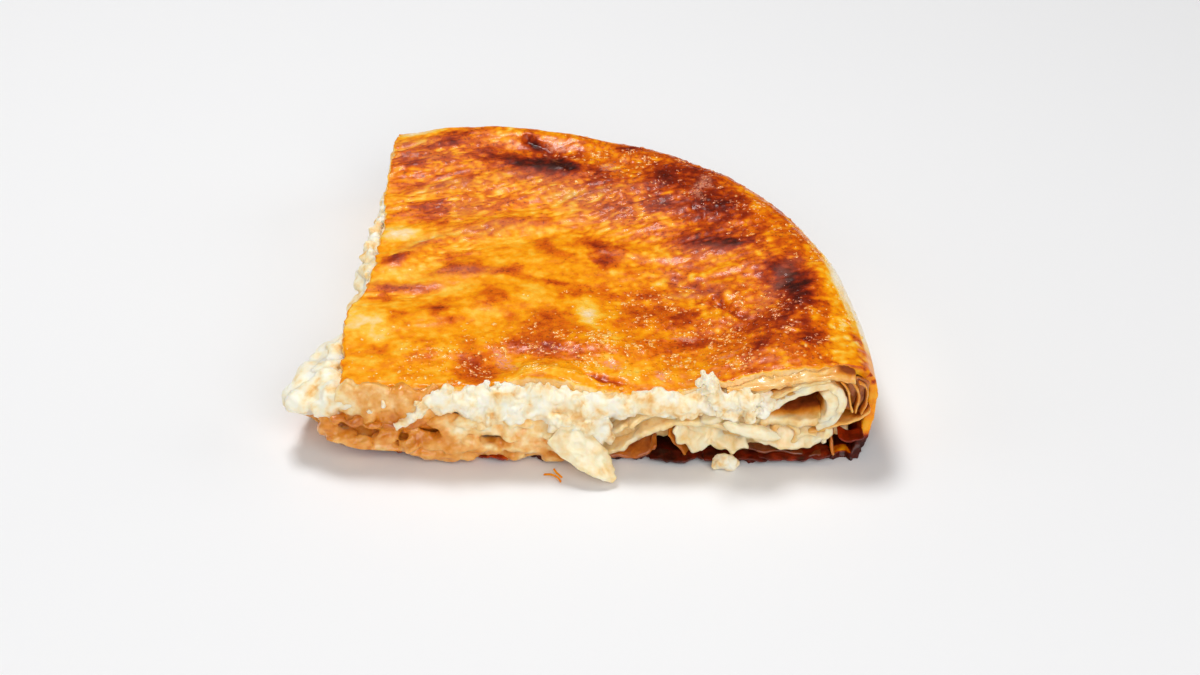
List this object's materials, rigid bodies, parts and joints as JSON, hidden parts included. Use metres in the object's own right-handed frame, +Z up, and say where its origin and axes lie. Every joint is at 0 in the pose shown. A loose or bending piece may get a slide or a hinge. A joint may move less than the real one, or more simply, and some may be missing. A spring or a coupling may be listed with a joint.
{
  "type": "cheese burek slice",
  "caption": "Quarter of a round pan-baked cheese pastry, browned on top and burnt beneath, with crumbled white cheese and soft folded dough showing at its straight cuts.",
  "frame": {"origin": "middle of the footprint, on the surface the slice rests on", "axes": "+Z up, +X along the front cut towards the rim, +Y along the left cut towards the rim"},
  "size_m": [0.1732, 0.1668, 0.0342],
  "materials": {
    "baked_pastry": "thin oiled yeastless dough baked amber to dark brown, blistered and glossy",
    "boiled_dough": "soft wet folded dough sheets, pale cream",
    "fresh_cheese": "crumbled fresh white cheese, moist and matt"
  },
  "bodies": {
    "root": {"pastry": "baked_pastry", "dough_bed": "boiled_dough", "cheese_filling": "fresh_cheese", "rim_roll": "boiled_dough", "browned_leaf": "baked_pastry", "dough_tongue": "boiled_dough", "dough_finger": "boiled_dough", "perched_curd": "fresh_cheese", "fallen_curd": "fresh_cheese"}
  },
  "joints": []
}
